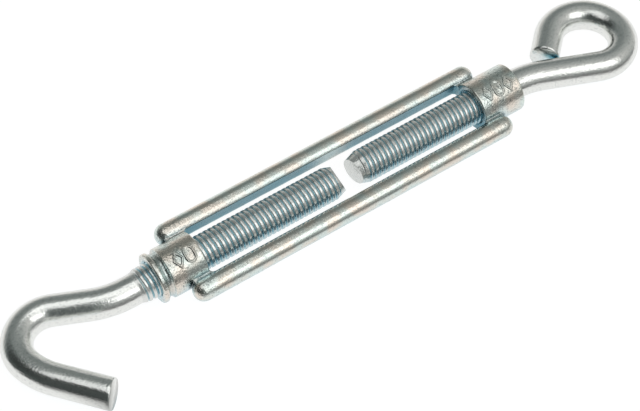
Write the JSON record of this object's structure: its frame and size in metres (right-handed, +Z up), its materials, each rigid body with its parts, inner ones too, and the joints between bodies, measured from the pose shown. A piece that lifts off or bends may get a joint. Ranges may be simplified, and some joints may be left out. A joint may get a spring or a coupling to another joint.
{
  "type": "hook and eye turnbuckle",
  "caption": "Open-frame turnbuckle with a hook bolt and an eye bolt that screw in from opposite ends to tension a wire or rope.",
  "frame": {"origin": "on the screw axis, at the middle of the frame's length and of its window", "axes": "+X along the screw axis from the hook to the eye, +Z up; the part lies on its two bosses and the tip of its hook"},
  "size_m": [0.2093, 0.0447, 0.0147],
  "materials": {
    "cast_zinc": "bright zinc plate over the fine grain of a casting",
    "bolt_zinc": "bright zinc plate over drawn rod and rolled thread"
  },
  "bodies": {
    "frame_body": {"frame": "cast_zinc"},
    "hook_end": {"hook_bolt": "bolt_zinc"},
    "eye_end": {"eye_bolt": "bolt_zinc"}
  },
  "joints": [
    {"name": "hook_screw", "type": "slide", "parent": "frame_body", "child": "hook_end", "axis": [-1, 0, 0], "range_m": [-0.001, 0.038]},
    {"name": "eye_screw", "type": "slide", "parent": "frame_body", "child": "eye_end", "axis": [1, 0, 0], "range_m": [-0.001, 0.038]}
  ],
  "couplings": [
    {"joint": "eye_screw", "follows": "hook_screw", "ratio": 1}
  ]
}
